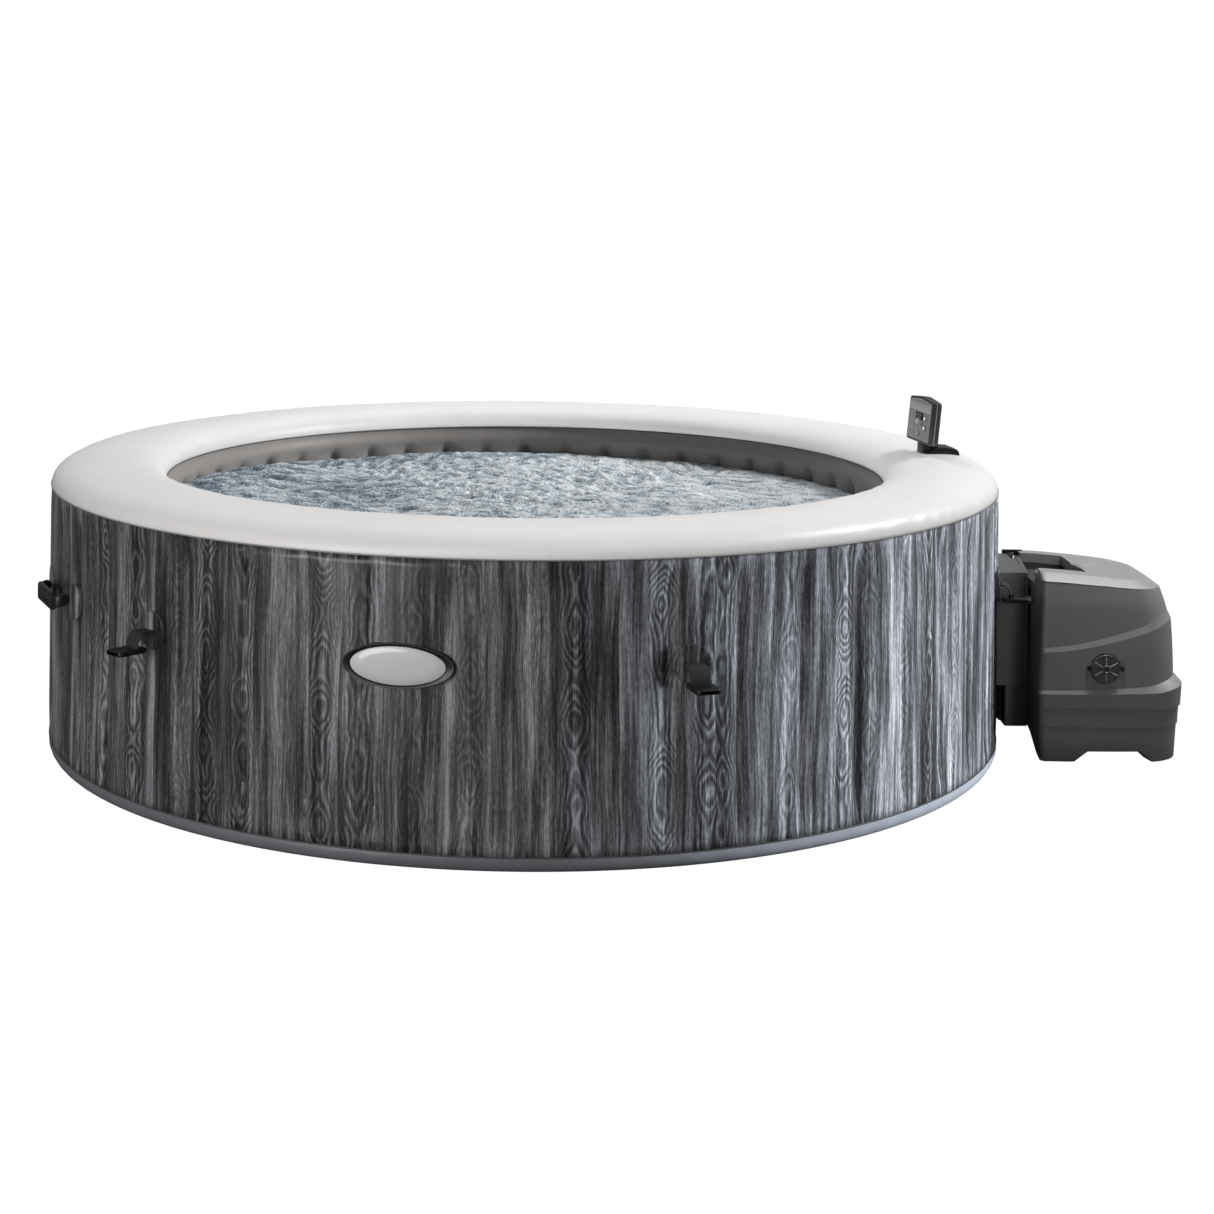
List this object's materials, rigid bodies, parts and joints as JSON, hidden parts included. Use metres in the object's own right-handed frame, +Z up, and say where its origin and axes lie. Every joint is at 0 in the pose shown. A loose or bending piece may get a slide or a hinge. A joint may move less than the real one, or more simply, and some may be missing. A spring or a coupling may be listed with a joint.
{
  "type": "inflatable hot tub",
  "caption": "Round inflatable hot tub with a domed rim, wood-print wall, strap latches, carry handles, rim-mounted control panel and a pump and heater unit at its side.",
  "frame": {"origin": "centre of the tub's underside, on the ground", "axes": "+Z up, +X from the tub's centre towards the pump unit, -Y towards the side with the badge"},
  "size_m": [2.6281, 2.266, 0.7667],
  "materials": {
    "wood_print_vinyl": "satin PVC with a printed grey wood-plank pattern",
    "rim_vinyl": "satin warm-grey PVC",
    "liner_vinyl": "satin grey PVC",
    "band_vinyl": "satin mid-grey PVC",
    "web_fabric": "laminated fibre web",
    "black_webbing": "woven polypropylene webbing",
    "black_plastic": "moulded, semi-gloss",
    "case_plastic": "fine-textured moulded plastic",
    "panel_plastic": "satin moulded plastic",
    "display_lens": "smoked, glossy",
    "pale_plastic": "satin moulded plastic",
    "filter_paper": "pleated filter paper",
    "steel": "brushed",
    "badge_plate": "blank plate with a grey field"
  },
  "bodies": {
    "root": {"outer_wall": "wood_print_vinyl", "top_rim": "rim_vinyl", "inner_wall": "liner_vinyl", "base_band": "band_vinyl", "floor_sheet": "liner_vinyl", "baffle_web": "web_fabric", "bubble_channel": "liner_vinyl", "inlet_pipe": "black_plastic", "outlet_pipe": "black_plastic", "air_pipe": "black_plastic", "outlet_grille": "black_plastic", "inflation_valve": "case_plastic", "drain_valve": "case_plastic", "oval_badge": "badge_plate", "pump_base": "case_plastic", "pump_shell": "case_plastic", "pump_lid": "case_plastic", "neck_cover": "case_plastic", "circulation_pump": "steel", "heater_tube": "steel", "air_blower": "black_plastic", "control_board": "band_vinyl", "power_cable": "black_plastic", "panel_stand": "black_plastic", "latch_patch_1": "wood_print_vinyl", "latch_patch_2": "wood_print_vinyl", "latch_patch_3": "wood_print_vinyl", "latch_patch_4": "wood_print_vinyl", "latch_patch_5": "wood_print_vinyl", "latch_patch_6": "wood_print_vinyl", "handle_patch_1a": "wood_print_vinyl", "handle_patch_1b": "wood_print_vinyl", "handle_patch_2a": "wood_print_vinyl", "handle_patch_2b": "wood_print_vinyl"},
    "latch_1": {"latch_strap_1": "black_webbing", "latch_buckle_1": "black_plastic"},
    "latch_2": {"latch_strap_2": "black_webbing", "latch_buckle_2": "black_plastic"},
    "latch_3": {"latch_strap_3": "black_webbing", "latch_buckle_3": "black_plastic"},
    "latch_4": {"latch_strap_4": "black_webbing", "latch_buckle_4": "black_plastic"},
    "latch_5": {"latch_strap_5": "black_webbing", "latch_buckle_5": "black_plastic"},
    "latch_6": {"latch_strap_6": "black_webbing", "latch_buckle_6": "black_plastic"},
    "carry_handle_1": {"handle_1": "black_plastic"},
    "carry_handle_2": {"handle_2": "black_plastic"},
    "inflation_cap_body": {"inflation_cap": "case_plastic"},
    "drain_cap_body": {"drain_cap": "case_plastic"},
    "drain_knob_body": {"drain_knob": "black_plastic"},
    "filter_cup_body": {"filter_cup": "case_plastic"},
    "cartridge": {"filter_cartridge": "filter_paper"},
    "impeller_body": {"impeller": "black_plastic"},
    "fan": {"blower_fan": "pale_plastic"},
    "panel": {"panel_case": "panel_plastic", "display_lens": "display_lens"},
    "heat_key_cap": {"heat_key": "pale_plastic"},
    "bubble_key_cap": {"bubble_key": "pale_plastic"},
    "power_key_cap": {"power_key": "pale_plastic"}
  },
  "joints": [
    {"name": "latch_1_flex", "type": "hinge", "parent": "root", "child": "latch_1", "pos_m": [-0.73963, -0.79315, 0.385], "axis": [-0.7314, 0.682, 0], "range_deg": [-20, 35]},
    {"name": "latch_2_flex", "type": "hinge", "parent": "root", "child": "latch_2", "pos_m": [0.31708, -1.03711, 0.385], "axis": [-0.9563, -0.2924, 0], "range_deg": [-20, 35]},
    {"name": "latch_3_flex", "type": "hinge", "parent": "root", "child": "latch_3", "pos_m": [1.0567, -0.24396, 0.385], "axis": [-0.225, -0.9744, 0], "range_deg": [-5, 35]},
    {"name": "latch_4_flex", "type": "hinge", "parent": "root", "child": "latch_4", "pos_m": [0.73963, 0.79315, 0.385], "axis": [0.7314, -0.682, 0], "range_deg": [-20, 35]},
    {"name": "latch_5_flex", "type": "hinge", "parent": "root", "child": "latch_5", "pos_m": [-0.31708, 1.03711, 0.385], "axis": [0.9563, 0.2924, 0], "range_deg": [-20, 35]},
    {"name": "latch_6_flex", "type": "hinge", "parent": "root", "child": "latch_6", "pos_m": [-1.0567, 0.24396, 0.385], "axis": [0.225, 0.9744, 0], "range_deg": [-20, 35]},
    {"name": "handle_1_swing", "type": "hinge", "parent": "root", "child": "carry_handle_1", "pos_m": [-1.00433, -0.43878, 0.385], "axis": [-0.4003, 0.9164, 0], "range_deg": [-40, 40]},
    {"name": "handle_2_swing", "type": "hinge", "parent": "root", "child": "carry_handle_2", "pos_m": [1.00433, 0.43878, 0.385], "axis": [0.4003, -0.9164, 0], "range_deg": [-40, 40]},
    {"name": "inflation_cap_hinge", "type": "hinge", "parent": "root", "child": "inflation_cap_body", "pos_m": [0.28237, 1.05383, 0.273], "axis": [-0.9659, 0.2588, 0], "range_deg": [0, 110]},
    {"name": "drain_cap_turn", "type": "hinge", "parent": "root", "child": "drain_cap_body", "pos_m": [-0.70449, 0.83959, 0.075], "axis": [-0.6428, 0.766, 0], "range_deg": [0, 180]},
    {"name": "drain_knob_turn", "type": "hinge", "parent": "root", "child": "drain_knob_body", "pos_m": [1.285, -0.2878, 0.208], "axis": [0, -1, 0], "range_deg": [0, 90]},
    {"name": "filter_cup_turn", "type": "hinge", "parent": "root", "child": "filter_cup_body", "pos_m": [0.75, -0.135, 0.23], "axis": [-1, 0, 0], "range_deg": [0, 90]},
    {"name": "cartridge_pull", "type": "slide", "parent": "filter_cup_body", "child": "cartridge", "axis": [-1, 0, 0], "range_m": [0, 0.1]},
    {"name": "impeller_spin", "type": "hinge", "parent": "root", "child": "impeller_body", "pos_m": [1.26, -0.15, 0.092], "axis": [1, 0, 0], "continuous": true},
    {"name": "fan_spin", "type": "hinge", "parent": "root", "child": "fan", "pos_m": [1.34, -0.185, 0.26], "axis": [0, 0, 1], "continuous": true},
    {"name": "panel_lift", "type": "slide", "parent": "root", "child": "panel", "axis": [0, 0, 1], "range_m": [0, 0.15]},
    {"name": "heat_key_press", "type": "slide", "parent": "panel", "child": "heat_key_cap", "axis": [0.9794, 0.1727, -0.1045], "range_m": [0, 0.001], "stiffness_N_per_m": 1500},
    {"name": "bubble_key_press", "type": "slide", "parent": "panel", "child": "bubble_key_cap", "axis": [0.9794, 0.1727, -0.1045], "range_m": [0, 0.001], "stiffness_N_per_m": 1500},
    {"name": "power_key_press", "type": "slide", "parent": "panel", "child": "power_key_cap", "axis": [0.9794, 0.1727, -0.1045], "range_m": [0, 0.001], "stiffness_N_per_m": 1500}
  ]
}
